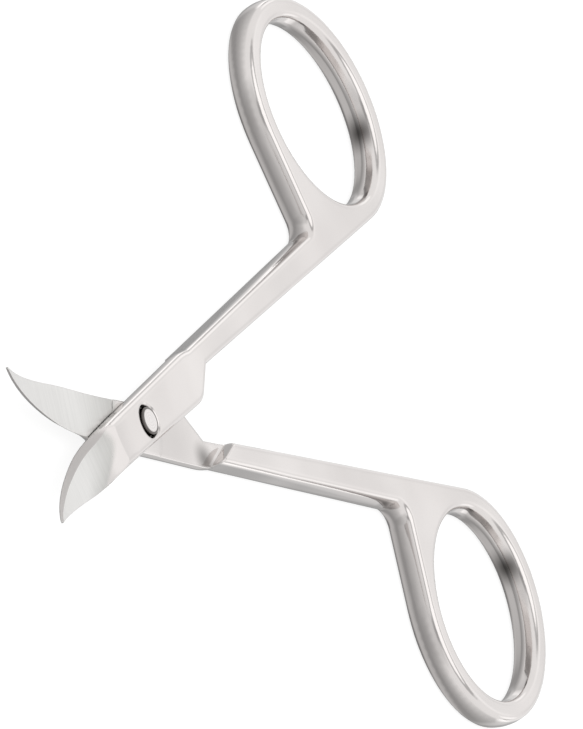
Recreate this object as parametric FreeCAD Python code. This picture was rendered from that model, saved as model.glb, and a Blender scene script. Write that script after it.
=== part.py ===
import FreeCAD, Part
import math
import os

V = FreeCAD.Vector

# Both limbs, millimetres and degrees
LIMB_T = 2.6          # full thickness of shank and bow
OPEN_HALF = 12.7      # each limb stands this far off the middle line
SIDE_BULGE = 0.35     # the sides swell this much at half thickness
SIDE_ROUND = 3.0      # rounding of the swell round the outside
HOLE_ROUND = 0.8      # rounding of the swell inside the bow
RIM_ROUND = 0.5       # rounding of the handle's edges
EDGE_ROUND = 0.6      # rounding of the plate's outer edges
CLOSED_GAP = 0.3      # gap between the two limbs when closed

# Finger bow, measured with the limb laid along +X
BOW_X = 54.55         # centre of the bow from the pivot
BOW_LONG = 11.55      # half length of the oval at half thickness
BOW_SHORT = 10.4      # half width of the oval
BOW_LEAN = 124.0      # direction of the oval's length
RIM_LONG = 2.4        # wall of the bow at the ends of the oval
RIM_SHORT = 2.35      # wall at its sides

# Shank
SHANK_START = 10.5    # the shank starts here, inside the plate
SHANK_ROOT_W = 2.55   # width at the joint
SHANK_BOW_W = 3.25    # width at the bow
CROTCH_R = 1.4        # corner between shank and bow

# Joint plates
PLATE_IN = 2.0        # plate edge past the middle line
PLATE_OUT = 2.75      # plate edge on the handle's outer side
PLATE_NECK = 11.0     # the outer edge turns towards the shank here
PLATE_END = 15.0      # and has run into the shank here
PLATE_R = 8.0         # rounding of both turns
FRONT_CORNER = (11.3, 3.6, 2.5)   # where the end bevel starts, its run along the limb, its rounding
REAR_CORNER = (8.7, 3.1, 1.2)
PLATE_OVERLAP = 8.5   # the plate runs this far into the shank
BLEND = 0.1           # and lies this far inside the shank's flat face
LAP_GAP = 0.08        # gap between the lap faces and between the blades
STEP_CLEAR = 0.7      # gap between the front plate's corner and the step of the rear limb
STEP_ROUND = 0.25
RIDE_R = 3.9          # raised round land that the plates turn on
RIDE_CLEAR = 0.03

# Blades
BLADE_L = 31.5        # pivot to tip
BLADE_RISE = 5.9      # height of the tip over the lap face
TIP_W = 0.22
TIP_T = 0.24
ROOT_T = 0.75         # thickness where the ground face has levelled out
SPINE_KNEE_X = 13.5
EDGE_KNEE_X = 14.5
EDGE_KNEE_Y = 2.05
KNEE_R = 60.0         # rounding of the knees in the blade outline
CURVE_START = 4.2     # radius where the lap face begins to curve up
GROUND_START = 7.0    # radius where the ground face cuts into the plate
GROUND_RUN = 4.0      # length of the hollow down to ROOT_T
GROUND_LEAD = 1.0     # the grinding path comes in from this far outside
GROUND_SLOPE = 0.2    # at this slope
GROUND_STEPS = 5      # points that carry the ground face to the tip
BEVEL_SLOPE = 0.9     # how far the bevel leans in per millimetre of height
BEVEL_LAND = 0.06     # upright land left at the cutting edge
BEVEL_RUN = 5.0       # length over which the bevel grows out of the plate's side
BEVEL_STEPS = 9       # sections that carry the bevel along the edge

# Rivet
PIN_D = 2.0
RUN_CLEAR = 0.03      # radial gap of the front limb's bore
HEAD_D = 2.5
HEAD_GAP = 0.2        # radial gap round the head
SEAT_DEPTH = 0.7
SEAT_BEVEL = 0.22     # bevelled mouth of the head's seat
SEAT_CLEAR = 0.02
HEAD_PROUD = 0.12
HEAD_ROUND = 0.1
TAIL_D = 3.0
TAIL_DEPTH = 0.5

HOLE_LONG = BOW_LONG - RIM_LONG
HOLE_SHORT = BOW_SHORT - RIM_SHORT
MID_Z = LIMB_T / 2
FRONT_LAP_Z = MID_Z + LAP_GAP / 2
REAR_LAP_Z = MID_Z - LAP_GAP / 2
SHANK_IN = CLOSED_GAP / 2
FLAT_IN = SHANK_IN + SIDE_BULGE
CURVE_R = ((BLADE_L - CURVE_START) ** 2 + BLADE_RISE ** 2) / (2 * BLADE_RISE)
REACH = BLADE_L + 1   # the curved tools run this far, past the tip
TOUCH = 1e-4          # nearer than this counts as the same height


def rounded_edges(corners, z, closed=True):
    """Edges through (x, y, radius) corners at height z, each corner turned by a tangent arc."""
    pts = [V(x, y, z) for x, y, r in corners]
    count = len(pts)
    ends = []
    for i, (x, y, r) in enumerate(corners):
        c = pts[i]
        if r == 0:
            ends.append((c, c, c))
            continue
        to_last = (pts[i - 1] - c).normalize()
        to_next = (pts[(i + 1) % count] - c).normalize()
        half = to_last.getAngle(to_next) / 2
        run = r / math.tan(half)
        inward = (to_last + to_next).normalize()
        ends.append((c + to_last * run, c + inward * (r / math.sin(half) - r), c + to_next * run))
    edges = []
    for i, (a, m, b) in enumerate(ends):
        if corners[i][2] > 0:
            edges.append(Part.Arc(a, m, b).toShape())
        if closed or i + 1 < count:
            edges.append(Part.makeLine(b, ends[(i + 1) % count][0]))
    return edges


def prism(corners, z, height):
    return Part.Face(Part.Wire(rounded_edges(corners, z))).extrude(V(0, 0, height))


def oval(long_half, short_half, z):
    """Leaning oval of the bow, centred so that the swollen bow just clears the middle line."""
    lean = math.radians(BOW_LEAN)
    rise = math.hypot(BOW_LONG * math.sin(lean), BOW_SHORT * math.cos(lean))
    centre = V(BOW_X, SHANK_IN + rise, z)
    length = V(math.cos(lean), math.sin(lean), 0) * long_half
    width = V(-math.sin(lean), math.cos(lean), 0) * short_half
    major, minor = sorted((length, width), key=lambda half: -half.Length)
    side = V(-major.y, major.x, 0) * (minor.Length / major.Length)
    return Part.Ellipse(centre + major, centre + side, centre)


def oval_angle(curve, direction):
    """Parameter of the oval's point whose outward normal points in the direction given."""
    turn = math.radians(direction) - math.atan2(curve.XAxis.y, curve.XAxis.x)
    angle = math.atan2(curve.MinorRadius * math.sin(turn), curve.MajorRadius * math.cos(turn))
    return angle % (2 * math.pi)


def handle_wire(inset, z):
    """Outline of shank and bow, drawn in by inset on every side but the joint end."""
    curve = oval(BOW_LONG - inset, BOW_SHORT - inset, z)
    inner, outer = oval_angle(curve, -90), oval_angle(curve, 180)
    low = curve.value(inner)
    left = curve.value(outer)
    root = SHANK_IN + SHANK_ROOT_W - inset
    web = SHANK_IN + SHANK_BOW_W - inset
    round_end = Part.ArcOfEllipse(curve, inner, outer + 2 * math.pi * (outer < inner)).toShape()
    lines = rounded_edges([(left.x, left.y, 0), (left.x, web, CROTCH_R + inset), (SHANK_START, root, 0),
                           (SHANK_START, low.y, 0), (low.x, low.y, 0)], z, closed=False)
    return Part.Wire([round_end] + lines)


def level_edges(solid, heights):
    """Edges of the handle that lie flat at one of the heights, but for those of its joint end."""
    boxes = [(e, e.BoundBox) for e in solid.Edges]
    return [e for e, box in boxes if box.ZLength < TOUCH and box.XMax > SHANK_START + CROTCH_R
            and min(abs(box.ZMin - z) for z in heights) < TOUCH]


def handle():
    """Shank and finger bow with flat faces and swelling sides."""
    halves = []
    for face_z in (LIMB_T, 0):
        half = Part.makeLoft([handle_wire(0, MID_Z), handle_wire(SIDE_BULGE, face_z)], True, True)
        rims = [Part.Wire(oval(HOLE_LONG + d, HOLE_SHORT + d, z).toShape())
                for d, z in ((0, MID_Z), (SIDE_BULGE, face_z))]
        halves.append(half.cut(Part.makeLoft(rims, True, True)))
    solid = halves[0].fuse(halves[1]).removeSplitter()
    for radius, in_hole in ((SIDE_ROUND, False), (HOLE_ROUND, True)):
        ridge = [e for e in level_edges(solid, [MID_Z]) if e.isClosed() == in_hole]
        solid = solid.makeFillet(radius, ridge)
    return solid.makeFillet(RIM_ROUND, level_edges(solid, [0, LIMB_T]))


def side_line(x):
    """Plate edge on the outer side, straight from the neck to the blade's knee."""
    part = (PLATE_NECK - x) / (PLATE_NECK + EDGE_KNEE_X)
    return PLATE_OUT + part * (EDGE_KNEE_Y - PLATE_OUT)


def plate_corners(corner_x, corner_run, corner_r):
    """Outline of the joint plate, its end running into the shank, its front cut straight past the blade."""
    end = corner_x + corner_run + PLATE_OVERLAP
    low = FLAT_IN + BLEND
    high = SHANK_IN + SHANK_ROOT_W - SIDE_BULGE - BLEND
    return [(-REACH, -PLATE_IN, 0), (corner_x, -PLATE_IN, corner_r), (corner_x + corner_run, low, corner_r),
            (end, low, 0), (end, high, 0), (PLATE_END, high, PLATE_R), (PLATE_NECK, PLATE_OUT, PLATE_R),
            (-REACH, side_line(-REACH), 0)]


def blade_corners():
    """Outline that tapers the blade and leaves the plate as it is."""
    return [(-BLADE_L, -TIP_W / 2, 0), (-SPINE_KNEE_X, -PLATE_IN, KNEE_R), (0, -PLATE_IN, 0), (0, -BOW_X, 0),
            (BOW_X, -BOW_X, 0), (BOW_X, BOW_X, 0), (0, BOW_X, 0), (0, side_line(0), 0),
            (-EDGE_KNEE_X, EDGE_KNEE_Y, KNEE_R), (-BLADE_L, TIP_W / 2, 0)]


def lap_height(r):
    """How far the lap face has curved up at distance r from the pivot."""
    run = max(r - CURVE_START, 0)
    return CURVE_R - math.sqrt(CURVE_R ** 2 - run ** 2)


def half_turn(edges):
    """Solid swept by a closed profile on the blade side of the pivot axis."""
    profile = Part.Face(Part.Wire(Part.__sortEdges__(edges)))
    profile.rotate(V(0, 0, 0), V(0, 0, 1), -90)
    return profile.revolve(V(0, 0, 0), V(0, 0, 1), 180)


def blade_blank(lap_z, face_z):
    """Half disc of plate thickness, flat at the pivot and curling up towards the tips."""
    middle = (CURVE_START + REACH) / 2
    sides = []
    for z in (lap_z, face_z):
        points = [V(-r, 0, z + lap_height(r)) for r in (0, CURVE_START, middle, REACH)]
        sides += [Part.makeLine(points[0], points[1]), Part.Arc(*points[1:]).toShape()]
    ends = [Part.makeLine(V(-r, 0, lap_z + lap_height(r)), V(-r, 0, face_z + lap_height(r)))
            for r in (0, REACH)]
    return half_turn(sides + ends)


def ground_tool(lap_z, face_z):
    """What the grinding takes off the blade's outer face: a hollow, then an even taper to the tip."""
    out = 1 if face_z > lap_z else -1
    first = GROUND_START + GROUND_RUN
    start = V(-GROUND_START, 0, face_z)
    points = [start + V(1, 0, out * GROUND_SLOPE) * GROUND_LEAD, start]
    for k in range(GROUND_STEPS):
        part = k / (GROUND_STEPS - 1)
        r = first + part * (BLADE_L - first)
        points.append(V(-r, 0, lap_z + lap_height(r) + out * (ROOT_T + part * (TIP_T - ROOT_T))))
    tip_slope = math.tan(math.asin((REACH - CURVE_START) / CURVE_R))
    points.append(points[-1] + V(-1, 0, tip_slope))
    curve = Part.BSplineCurve()
    curve.interpolate(points)
    far = face_z + out * 2 * BLADE_L
    corners = [points[-1], V(points[-1].x, 0, far), V(points[0].x, 0, far), points[0]]
    lines = [Part.makeLine(a, b) for a, b in zip(corners, corners[1:])]
    return half_turn([curve.toShape()] + lines)


def step_tool(low_z, high_z):
    """Room for a plate of the other limb, its slanting side STEP_CLEAR off the front plate's corner."""
    start, run, turn = FRONT_CORNER
    rise = PLATE_IN + FLAT_IN + BLEND
    shift = V(rise, run, 0) * (STEP_CLEAR / math.hypot(run, rise))
    along = V(run, -rise, 0)
    first = V(start, PLATE_IN, 0) + shift - along
    last = first + along * 3
    outline = [(p.x, p.y, 0) for p in (first, V(0, first.y, 0), V(0, last.y, 0), last)]
    return prism(outline, low_z, high_z - low_z)


def outer_edges(plate, face_z):
    """Edges between the flat and curled outer face of a plate and its sides."""
    outer = [f for f in plate.Faces if min(abs(v.Z - face_z) for v in f.Vertexes) < TOUCH
             and abs(f.normalAt(*f.Surface.parameter(f.CenterOfMass)).z) > math.cos(math.pi / 4)]
    found = {}
    for face in outer:
        for edge in face.Edges:
            found.setdefault(edge.hashCode(), []).append(edge)
    return [edges[0] for edges in found.values() if len(edges) == 1]


def bevel_tool(lap_z, face_z):
    """Wedge along the cutting edge that leans the side of the blade in over a narrow land."""
    out = 1 if face_z > lap_z else -1
    path = Part.Wire(rounded_edges([(-GROUND_START, side_line(-GROUND_START), 0),
                                    (-EDGE_KNEE_X, EDGE_KNEE_Y, KNEE_R), (-BLADE_L, TIP_W / 2, 0)], 0, False))
    points = path.discretize(BEVEL_STEPS)
    points.append(points[-1] + (points[-1] - points[-2]).normalize())
    sections = []
    for k, p in enumerate(points):
        along = points[min(k + 1, len(points) - 1)] - points[max(k - 1, 0)]
        side = V(along.y, -along.x, 0).normalize()
        r = math.hypot(p.x, p.y)
        fade = max(1 - (r - GROUND_START) / BEVEL_RUN, 0)
        land = BEVEL_LAND + fade ** 2 * LIMB_T / 2
        foot = V(p.x, p.y, lap_z + lap_height(r) + out * land)
        lean = V(0, 0, out) - side * BEVEL_SLOPE
        corners = [foot - lean * LIMB_T, foot + lean * LIMB_T, foot + side * 2 * LIMB_T]
        sections.append(Part.makePolygon(corners + corners[:1]))
    return Part.makeLoft(sections, True, False)


def step_edge(solid, lap_z):
    """The inside corner at the foot of the step."""
    boxes = [(e, e.BoundBox) for e in solid.Edges if e.Curve.TypeId == "Part::GeomLine"]
    return [e for e, box in boxes if box.ZLength < TOUCH and abs(box.ZMin - lap_z) < TOUCH
            and min(box.XLength, box.YLength) > STEP_CLEAR and box.YMin > 0]


def limb(corner, lap_z, face_z):
    """Blade, plate, shank and bow, laid along +X with the bow on the +Y side."""
    low, high = sorted((lap_z, face_z))
    slab = Part.makeBox(BOW_X, BOW_X, high - low, V(0, -BOW_X / 2, low))
    plate = prism(plate_corners(*corner), 0, 2 * BLADE_L)
    plate = plate.common(blade_blank(lap_z, face_z).fuse(slab)).removeSplitter()
    plate = plate.makeFillet(EDGE_ROUND, outer_edges(plate, face_z))
    plate = plate.common(prism(blade_corners(), 0, 2 * BLADE_L))
    plate = plate.cut(ground_tool(lap_z, face_z))
    plate = plate.cut(bevel_tool(lap_z, face_z))
    room = (0, lap_z) if face_z > lap_z else (lap_z, LIMB_T)
    grip = handle().cut(step_tool(*room))
    solid = plate.fuse(grip).removeSplitter()
    return solid.makeFillet(STEP_ROUND, step_edge(solid, lap_z))


def front_limb():
    """Upper limb with a running bore and the head's counterbore."""
    solid = limb(FRONT_CORNER, FRONT_LAP_Z, LIMB_T)
    solid = solid.cut(Part.makeCylinder(PIN_D / 2 + RUN_CLEAR, LIMB_T))
    seat_r = HEAD_D / 2 + HEAD_GAP
    solid = solid.cut(Part.makeCylinder(seat_r, SEAT_DEPTH, V(0, 0, LIMB_T - SEAT_DEPTH)))
    solid = solid.cut(Part.makeCone(seat_r, seat_r + SEAT_BEVEL, SEAT_BEVEL, V(0, 0, LIMB_T - SEAT_BEVEL)))
    solid.rotate(V(0, 0, 0), V(0, 0, 1), OPEN_HALF)
    return solid


def rear_limb():
    """Lower limb with the ride land, the rivet's hole and the countersink of its tail."""
    solid = limb(REAR_CORNER, REAR_LAP_Z, 0)
    land = Part.makeCylinder(RIDE_R, LAP_GAP - RIDE_CLEAR + TAIL_DEPTH, V(0, 0, REAR_LAP_Z - TAIL_DEPTH))
    land = land.common(prism(plate_corners(*REAR_CORNER), 0, LIMB_T))
    solid = solid.fuse(land).removeSplitter()
    solid = solid.cut(Part.makeCylinder(PIN_D / 2, LIMB_T))
    solid = solid.cut(Part.makeCone(TAIL_D / 2, PIN_D / 2, TAIL_DEPTH))
    solid = solid.mirror(V(0, 0, 0), V(0, 1, 0))
    solid.rotate(V(0, 0, 0), V(0, 0, 1), -OPEN_HALF)
    return solid


def pivot_rivet():
    """Flat round head, plain pin and a tail closed over flush with the underside."""
    seat = LIMB_T - SEAT_DEPTH + SEAT_CLEAR
    top = LIMB_T + HEAD_PROUD
    head = Part.makeCylinder(HEAD_D / 2, top - seat, V(0, 0, seat))
    rim = [e for e in head.Edges if e.BoundBox.ZMin > top - TOUCH]
    head = head.makeFillet(HEAD_ROUND, rim)
    pin = Part.makeCylinder(PIN_D / 2, seat)
    tail = Part.makeCone(TAIL_D / 2, PIN_D / 2, TAIL_DEPTH)
    return head.fuse(pin).fuse(tail).removeSplitter()


os.makedirs("parts", exist_ok=True)
for build in (front_limb, rear_limb, pivot_rivet):
    shape = build()
    print(build.__name__, shape.isValid(), round(shape.Volume, 2), len(shape.Solids), len(shape.Faces))
    shape.exportStep("parts/%s.step" % build.__name__)
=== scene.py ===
import math

import bpy
from mathutils import Matrix, Vector

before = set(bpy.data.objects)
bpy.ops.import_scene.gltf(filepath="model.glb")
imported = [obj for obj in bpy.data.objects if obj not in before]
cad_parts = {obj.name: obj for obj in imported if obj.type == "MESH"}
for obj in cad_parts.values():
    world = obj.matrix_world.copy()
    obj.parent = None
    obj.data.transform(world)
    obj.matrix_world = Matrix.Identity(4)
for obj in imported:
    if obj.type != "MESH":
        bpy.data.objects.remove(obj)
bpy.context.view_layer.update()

MM = 0.001
OPEN_HALF = math.radians(12.7)   # each limb stands this far off the middle line

# Satin grind of the blades, in millimetres from the pivot along and across the limb
LAP_GRIND = 2.4                  # the lap faces are ground from here to the tip
FACE_GRIND = 6.9                 # the outer faces from here, at the cutting edge
FACE_GRIND_BEND = 0.58           # and later towards the back, along this curve
FACE_GRIND_SIDE = 0.9
GRIND_RUN = 1.5                  # length over which polish passes into grind
GRIND_SHADE_RUN = 8              # painted shading: the grind lightens over this length
GRIND_LINE = 0.22                # spacing of the grinding lines, coarser than the real 0.05 so that they show
GRIND_LINE_RUN = 5               # length of one line across the blade
GRIND_ROUGH = (0.26, 0.42)
HONED_LEAN = (0.35, 0.5)         # faces of the blade that lean sideways this much are the honed cutting bevel

# Polish of plate, shank and bow, in millimetres
POLISH_LINE = 0.3                # spacing of the faint polishing lines along shank and bow
POLISH_LINE_RUN = 9
POLISH_ROUGH = (0.05, 0.1)
LINE_DEPTH = 0.01                # depth of polishing and grinding lines
LINE_STRENGTH = 0.05
WAVE = 9                         # size of the soft waves that buffing leaves in the flats
WAVE_DEPTH = 0.22
SMEAR = 7                        # size of the faint cloudy smears that handling leaves
SHADE_REACH = 0.45               # painted shade darkens corners narrower than this
SHADE_OPEN = (0.2, 0.75)         # share of open sky where a corner is painted fully dark, and where it is left unshaded
BUFFED = 0.35                    # buffing rolls the flats off over this width along their edges
BLADE_BUFFED = 0.12
ROLL_SAMPLES = 16
SHADE_SAMPLES = 8

# Painted dark spots: a dark reflection on the bow wall, shade in the crotch and at the step's foot, and the
# other plate's shadow on the lap. Columns: middle along, across and up the limb, radius, and how dark they
# are
BOW_WALL_REFLECTION = (62.3, 6.9, 1.3, 2.4, 1)
CROTCH_SHADE = (41.1, 3.8, 1.8, 1.2, 1)
STEP_FOOT_SHADE = (10.9, 2.0, 1.3, 2.2, 0.75)
LAP_PLATE_SHADOW = (6.5, 1.0, 1.3, 6.5, 0.17)
UPRIGHT_LEAN = (0.35, 0.75)      # a wall leans less than the first, and a flat more than the second

# Rivet, in millimetres
TURNING = 0.24                   # spacing of the rings that turning left on the head
RING_REPEAT = 0.314              # a ring pattern of scale 1 repeats after this length
RING_WANDER = 0.4
RIVET_ROUGH = (0.1, 0.2)
HEAD_FACE_R = 1.0                # the face of the head, inside its rim that is painted darker
HEAD_RIM_RUN = 0.06              # width over which the rim darkens
HEAD_Z = 1.5                     # the head is above this height

# Light table
TABLE_HALF = 3.0                 # half its side, in metres
TABLE_DROP = 0.02                # it lies this many millimetres below the scissors
TABLE_GLOW = 0.85

# The photograph: its frame in pixels, and how it looks at the scissors in their own frame
PHOTO_W, PHOTO_H = 583, 729
PX_PER_MM = 11.59
FOCAL_PX = 20000
LOOK_AT = Vector((5.99, 0.69, 14.3)) * MM
TO_CAMERA = Vector((-0.893, -0.0395, 0.4483))
IMAGE_UP = Vector((0.113, 0.947, 0.301))
SENSOR_MM = 36

# Studio: brightness of what the steel mirrors, by height over the horizon in degrees
LEVELS = ((-90, 0.25), (-68, 0.5), (-57, 0.62), (-47, 0.56), (-40, 0.36), (-34, 0.36), (-24, 0.5),
          (-12, 0.72), (-3, 0.97), (90, 1.0))
STUDIO = 1.06
# Soft panels and flags: azimuth and height of the middle, radius of the even part and of the fade, brightness
PANELS = ((180, 78, 40, 52, 0.55), (180, 80, 26, 36, 2.4), (0, 42, 6, 22, 1.12), (0, 16, 2, 14, 0.9),
          (33, 18, 5, 12, 1.25), (-33, 18, 5, 12, 1.25), (40, 3, 2, 8, 0.66), (-40, 3, 2, 8, 0.66),
          (26, -22, 8, 20, 1.35), (-26, -22, 8, 20, 1.35), (42, -9, 4, 11, 1.6), (-42, -9, 4, 11, 1.6),
          (16, -30, 5, 13, 0.72), (-16, -30, 5, 13, 0.72), (180, 2, 12, 42, 0.76), (180, 26, 5, 18, 0.6))


def linear(hex_colour):
    """sRGB hex as linear red, green, blue and alpha."""
    parts = [int(hex_colour[i:i + 2], 16) / 255 for i in (1, 3, 5)]
    return [c / 12.92 if c <= 0.04045 else ((c + 0.055) / 1.055) ** 2.4 for c in parts] + [1]


def add(tree, kind, settings, *links):
    """Adds a node with its settings and feeds its inputs from (input, value or socket) pairs.
    Returns its outputs."""
    node = tree.nodes.new(kind)
    for name, value in settings.items():
        setattr(node, name, value)
    for key, value in links:
        if isinstance(value, bpy.types.NodeSocket):
            tree.links.new(value, node.inputs[key])
        else:
            node.inputs[key].default_value = value
    return node.outputs


def new_material(name):
    material = bpy.data.materials.new(name)
    material.use_nodes = True
    shader = material.node_tree.nodes["Principled BSDF"]
    shader.inputs["Metallic"].default_value = 1
    return material, material.node_tree, shader


def limb_stainless(name, turn, lap_side):
    """Stainless steel: mirror polish on plate, shank and bow, satin ground blade, painted shade in the
    corners and a few painted dark spots.
    The lap face points up for lap_side 1 and down for -1."""
    material, tree, shader = new_material(name)
    own = add(tree, "ShaderNodeTexCoord", {})
    turned = add(tree, "ShaderNodeVectorRotate", {"rotation_type": "Z_AXIS"}, ("Vector", own["Object"]),
                 ("Angle", -turn))[0]
    along = add(tree, "ShaderNodeVectorMath", {"operation": "SCALE"}, (0, turned), ("Scale", 1 / MM))[0]
    parts = add(tree, "ShaderNodeSeparateXYZ", {}, (0, along))

    # Where the blade is ground
    side = add(tree, "ShaderNodeMath", {"operation": "MULTIPLY_ADD"}, (0, parts["Y"]), (1, lap_side),
               (2, FACE_GRIND_SIDE))[0]
    curve = add(tree, "ShaderNodeMath", {"operation": "MULTIPLY"}, (0, side), (1, side))[0]
    face_start = add(tree, "ShaderNodeMath", {"operation": "MULTIPLY_ADD"}, (0, curve), (1, FACE_GRIND_BEND),
                     (2, FACE_GRIND))[0]
    normal = add(tree, "ShaderNodeNewGeometry", {})["Normal"]
    facing = add(tree, "ShaderNodeSeparateXYZ", {}, (0, normal))["Z"]
    lap_facing = add(tree, "ShaderNodeMath", {"operation": "MULTIPLY"}, (0, facing), (1, lap_side))[0]
    on_lap = add(tree, "ShaderNodeMath", {"operation": "GREATER_THAN"}, (0, lap_facing), (1, 0))[0]
    start = add(tree, "ShaderNodeMix", {}, ("Factor", on_lap), (2, face_start), (3, LAP_GRIND))[0]
    reach = add(tree, "ShaderNodeMath", {"operation": "MULTIPLY"}, (0, parts["X"]), (1, -1))[0]
    past = add(tree, "ShaderNodeMath", {"operation": "SUBTRACT"}, (0, reach), (1, start))[0]
    ground = add(tree, "ShaderNodeMapRange", {"interpolation_type": "SMOOTHSTEP"}, ("Value", past),
                 ("From Max", GRIND_RUN))[0]

    # Lines, smears and waves of the finish
    across = add(tree, "ShaderNodeVectorMath", {"operation": "MULTIPLY"}, (0, along),
                 (1, (1 / GRIND_LINE, 1 / GRIND_LINE_RUN, 1 / GRIND_LINE_RUN)))[0]
    grinding = add(tree, "ShaderNodeTexNoise", {}, ("Vector", across), ("Scale", 1), ("Detail", 3))[0]
    lengthwise = add(tree, "ShaderNodeVectorMath", {"operation": "MULTIPLY"}, (0, along),
                     (1, (1 / POLISH_LINE_RUN, 1 / POLISH_LINE, 1 / POLISH_LINE)))[0]
    polishing = add(tree, "ShaderNodeTexNoise", {}, ("Vector", lengthwise), ("Scale", 1), ("Detail", 2))[0]
    smears = add(tree, "ShaderNodeTexNoise", {}, ("Vector", along), ("Scale", 1 / SMEAR), ("Detail", 3))[0]
    waves = add(tree, "ShaderNodeTexNoise", {}, ("Vector", along), ("Scale", 1 / WAVE), ("Detail", 0))[0]

    # Tones of polish, grind and honed bevel
    polish_tone = add(tree, "ShaderNodeMix", {"data_type": "RGBA"}, ("Factor", smears),
                      (6, linear("#d5d0ce")), (7, linear("#e1dddb")))[2]
    # Painted shading of the curved blade: the grind is darker where it starts and lighter towards the tip
    grind_lit = add(tree, "ShaderNodeMix", {"data_type": "RGBA"}, ("Factor", grinding),
                (6, linear("#d9d8d6")), (7, linear("#f0efed")))[2]
    grind_shaded = add(tree, "ShaderNodeMix", {"data_type": "RGBA"}, ("Factor", grinding),
                (6, linear("#adaca9")), (7, linear("#c9c8c5")))[2]
    lighter = add(tree, "ShaderNodeMapRange", {}, ("Value", past), ("From Max", GRIND_SHADE_RUN))[0]
    ground_tone = add(tree, "ShaderNodeMix", {"data_type": "RGBA"}, ("Factor", lighter), (6, grind_shaded),
                      (7, grind_lit))[2]
    limb_normal = add(tree, "ShaderNodeVectorRotate", {"rotation_type": "Z_AXIS"}, ("Vector", own["Normal"]),
                      ("Angle", -turn))[0]
    lean = add(tree, "ShaderNodeSeparateXYZ", {}, (0, limb_normal))["Y"]
    sideways = add(tree, "ShaderNodeMath", {"operation": "ABSOLUTE"}, (0, lean))[0]
    honed = add(tree, "ShaderNodeMapRange", {"interpolation_type": "SMOOTHSTEP"}, ("Value", sideways),
                ("From Min", HONED_LEAN[0]), ("From Max", HONED_LEAN[1]))[0]
    ground_tone = add(tree, "ShaderNodeMix", {"data_type": "RGBA"}, ("Factor", honed), (6, ground_tone),
                      (7, linear("#bcb8b6")))[2]
    tone = add(tree, "ShaderNodeMix", {"data_type": "RGBA"}, ("Factor", ground), (6, polish_tone),
               (7, ground_tone))[2]

    # Painted dark spots of shade and reflection, and painted shade in the corners
    flatness = add(tree, "ShaderNodeMath", {"operation": "ABSOLUTE"}, (0, facing))[0]
    upright = add(tree, "ShaderNodeMapRange", {"interpolation_type": "SMOOTHSTEP"}, ("Value", flatness),
                  ("From Min", UPRIGHT_LEAN[0]), ("From Max", UPRIGHT_LEAN[1]),
                  ("To Min", 1), ("To Max", 0))[0]
    # Painted shade and reflection: each spot pulls the tone towards dark grey
    for (x, y, z, radius, share), faces in ((BOW_WALL_REFLECTION, upright), (CROTCH_SHADE, upright), (STEP_FOOT_SHADE, on_lap),
                                            (LAP_PLATE_SHADOW, on_lap)):
        away = add(tree, "ShaderNodeVectorMath", {"operation": "DISTANCE"}, (0, along),
                   (1, (x, -lap_side * y, z)))["Value"]
        close = add(tree, "ShaderNodeMapRange", {"interpolation_type": "SMOOTHSTEP"}, ("Value", away),
                    ("From Max", radius), ("To Min", share), ("To Max", 0))[0]
        painted_dark_spot = add(tree, "ShaderNodeMath", {"operation": "MULTIPLY"}, (0, close), (1, faces))[0]
        tone = add(tree, "ShaderNodeMix", {"data_type": "RGBA"}, ("Factor", painted_dark_spot), (6, tone),
                   (7, linear("#5d5a58")))[2]
    # Painted shade: corners that see little open sky are painted dark grey
    open_share = add(tree, "ShaderNodeAmbientOcclusion", {"samples": SHADE_SAMPLES},
                     ("Distance", SHADE_REACH * MM))["AO"]
    corner_shade = add(tree, "ShaderNodeMapRange", {"interpolation_type": "SMOOTHSTEP"}, ("Value", open_share),
                ("From Min", SHADE_OPEN[0]), ("From Max", SHADE_OPEN[1]), ("To Min", 1), ("To Max", 0))[0]
    painted_shade = add(tree, "ShaderNodeMix", {"data_type": "RGBA"}, ("Factor", corner_shade), (6, tone),
               (7, linear("#45413f")))[2]
    tree.links.new(painted_shade, shader.inputs["Base Color"])

    # Gloss, rolled edges and relief
    polish_rough = add(tree, "ShaderNodeMapRange", {}, ("Value", smears), ("To Min", POLISH_ROUGH[0]),
                       ("To Max", POLISH_ROUGH[1]))[0]
    ground_rough = add(tree, "ShaderNodeMapRange", {}, ("Value", grinding), ("To Min", GRIND_ROUGH[0]),
                       ("To Max", GRIND_ROUGH[1]))[0]
    rough = add(tree, "ShaderNodeMix", {}, ("Factor", ground), (2, polish_rough), (3, ground_rough))[0]
    tree.links.new(rough, shader.inputs["Roughness"])
    edge = add(tree, "ShaderNodeMix", {}, ("Factor", ground), (2, BUFFED * MM), (3, BLADE_BUFFED * MM))[0]
    rolled = add(tree, "ShaderNodeBevel", {"samples": ROLL_SAMPLES}, ("Radius", edge))[0]
    buffed = add(tree, "ShaderNodeBump", {}, ("Height", waves), ("Distance", WAVE_DEPTH * MM),
                 ("Normal", rolled))[0]
    lines = add(tree, "ShaderNodeMix", {}, ("Factor", ground), (2, polishing), (3, grinding))[0]
    bump = add(tree, "ShaderNodeBump", {}, ("Height", lines), ("Strength", LINE_STRENGTH),
               ("Distance", LINE_DEPTH * MM), ("Normal", buffed))[0]
    tree.links.new(bump, shader.inputs["Normal"])
    return material


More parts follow.
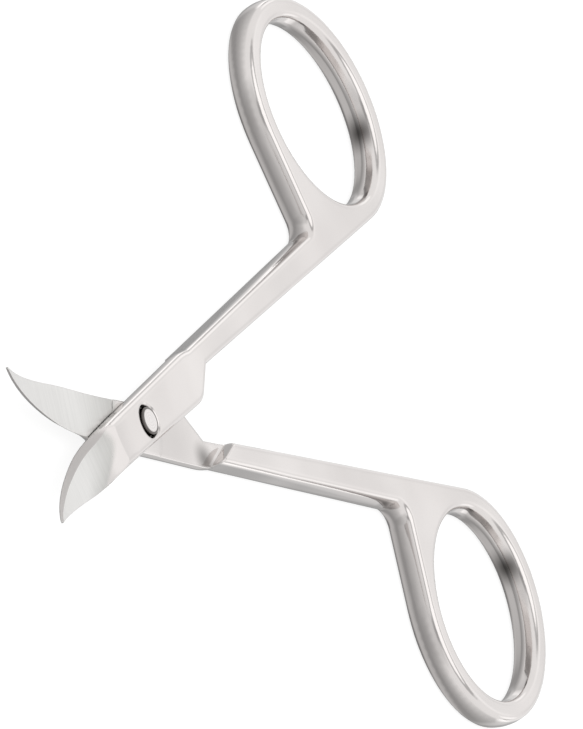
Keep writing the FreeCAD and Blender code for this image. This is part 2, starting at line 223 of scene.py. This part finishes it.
def rivet_stainless():
    """Stainless rivet: head faced on a lathe, so fine rings run round it, and its edge painted darker as
    shade and dark reflection of the gap round it.
    """
    material, tree, shader = new_material("turned_stainless_rivet")
    place = add(tree, "ShaderNodeTexCoord", {})["Object"]
    level = add(tree, "ShaderNodeVectorMath", {"operation": "MULTIPLY"}, (0, place),
                (1, (1 / MM, 1 / MM, 0)))[0]
    radius = add(tree, "ShaderNodeVectorMath", {"operation": "LENGTH"}, (0, level))["Value"]
    rings = add(tree, "ShaderNodeTexWave", {"wave_type": "RINGS", "rings_direction": "Z"}, ("Vector", level),
                ("Scale", RING_REPEAT / TURNING), ("Distortion", RING_WANDER))["Fac"]
    rough = add(tree, "ShaderNodeMapRange", {}, ("Value", rings), ("To Min", RIVET_ROUGH[0]),
                ("To Max", RIVET_ROUGH[1]))[0]
    tree.links.new(rough, shader.inputs["Roughness"])
    face = add(tree, "ShaderNodeMix", {"data_type": "RGBA"}, ("Factor", rings),
               (6, linear("#dad6d4")), (7, linear("#e7e3e2")))[2]
    # Painted shade: the head's rim is painted dark grey, standing in for the shade and dark reflection of the
    # gap round it
    rim = add(tree, "ShaderNodeMapRange", {}, ("Value", radius), ("From Min", HEAD_FACE_R),
              ("From Max", HEAD_FACE_R + HEAD_RIM_RUN))[0]
    height = add(tree, "ShaderNodeSeparateXYZ", {}, (0, place))["Z"]
    on_head = add(tree, "ShaderNodeMath", {"operation": "GREATER_THAN"}, (0, height), (1, HEAD_Z * MM))[0]
    painted_shade = add(tree, "ShaderNodeMath", {"operation": "MULTIPLY"}, (0, rim), (1, on_head))[0]
    tone = add(tree, "ShaderNodeMix", {"data_type": "RGBA"}, ("Factor", painted_shade), (6, face),
               (7, linear("#6a6664")))[2]
    tree.links.new(tone, shader.inputs["Base Color"])
    return material


def studio():
    """Soft white tent with a greyer underside, a bright panel overhead and the darker side of the camera."""
    world = bpy.data.worlds.new("studio")
    world.use_nodes = True
    tree = world.node_tree
    background = tree.nodes["Background"]
    look = add(tree, "ShaderNodeTexCoord", {})["Generated"]
    rise = add(tree, "ShaderNodeSeparateXYZ", {}, (0, look))["Z"]
    height = add(tree, "ShaderNodeMapRange", {}, ("Value", rise), ("From Min", -1), ("From Max", 1))[0]
    shade = add(tree, "ShaderNodeValToRGB", {}, ("Fac", height))["Color"]
    stops = shade.node.color_ramp.elements
    for k, (angle, level) in enumerate(LEVELS):
        at = (math.sin(math.radians(angle)) + 1) / 2
        stop = stops[k] if k < 2 else stops.new(at)
        stop.position = at
        stop.color = (level, level, level, 1)
    for azimuth, angle, even, fade, level in PANELS:
        a, e = math.radians(azimuth), math.radians(angle)
        middle = (math.cos(e) * math.cos(a), math.cos(e) * math.sin(a), math.sin(e))
        near = add(tree, "ShaderNodeVectorMath", {"operation": "DOT_PRODUCT"}, (0, look),
                   (1, middle))["Value"]
        panel = add(tree, "ShaderNodeMapRange", {"interpolation_type": "SMOOTHSTEP"}, ("Value", near),
                    ("From Min", math.cos(math.radians(fade))), ("From Max", math.cos(math.radians(even))),
                    ("To Min", 1), ("To Max", level))[0]
        shade = add(tree, "ShaderNodeVectorMath", {"operation": "SCALE"}, (0, shade), ("Scale", panel))[0]
    tree.links.new(shade, background.inputs["Color"])
    background.inputs["Strength"].default_value = STUDIO
    bpy.context.scene.world = world


def light_table():
    """Pale floor lit from below, so that shadows on it stay faint.
    The steel mirrors the tent and not the floor."""
    corners = [(x * TABLE_HALF, y * TABLE_HALF, 0) for x, y in ((-1, -1), (1, -1), (1, 1), (-1, 1))]
    mesh = bpy.data.meshes.new("light_table")
    mesh.from_pydata(corners, [], [(0, 1, 2, 3)])
    table = bpy.data.objects.new("light_table", mesh)
    bpy.context.scene.collection.objects.link(table)
    table.location.z = -TABLE_DROP * MM
    material, _, shader = new_material("backlit_opal_acrylic")
    shader.inputs["Metallic"].default_value = 0
    shader.inputs["Base Color"].default_value = linear("#8c8c8c")
    shader.inputs["Roughness"].default_value = 1
    shader.inputs["Specular IOR Level"].default_value = 0
    shader.inputs["Emission Color"].default_value = linear("#ffffff")
    shader.inputs["Emission Strength"].default_value = TABLE_GLOW
    mesh.materials.append(material)
    table.visible_glossy = False


def photo_camera():
    """Long lens at the photograph's angle."""
    back = TO_CAMERA.normalized()
    right = IMAGE_UP.cross(back).normalized()
    up = back.cross(right)
    data = bpy.data.cameras.new("photo_camera")
    data.sensor_width = SENSOR_MM
    data.lens = FOCAL_PX * SENSOR_MM / max(PHOTO_W, PHOTO_H)
    place = LOOK_AT + back * (FOCAL_PX / PX_PER_MM * MM)
    view = bpy.data.objects.new("photo_camera", data)
    view.matrix_world = Matrix.Translation(place) @ Matrix((right, up, back)).transposed().to_4x4()
    bpy.context.scene.collection.objects.link(view)
    bpy.context.scene.camera = view


def finish_steel():
    """Gives each solid its own steel."""
    steels = {"front_limb": limb_stainless("polished_stainless_front", OPEN_HALF, -1),
              "rear_limb": limb_stainless("polished_stainless_rear", -OPEN_HALF, 1),
              "pivot_rivet": rivet_stainless()}
    for name, steel in steels.items():
        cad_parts[name].data.materials.clear()
        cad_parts[name].data.materials.append(steel)


finish_steel()
studio()
light_table()
photo_camera()
bpy.context.scene.view_settings.view_transform = "Standard"
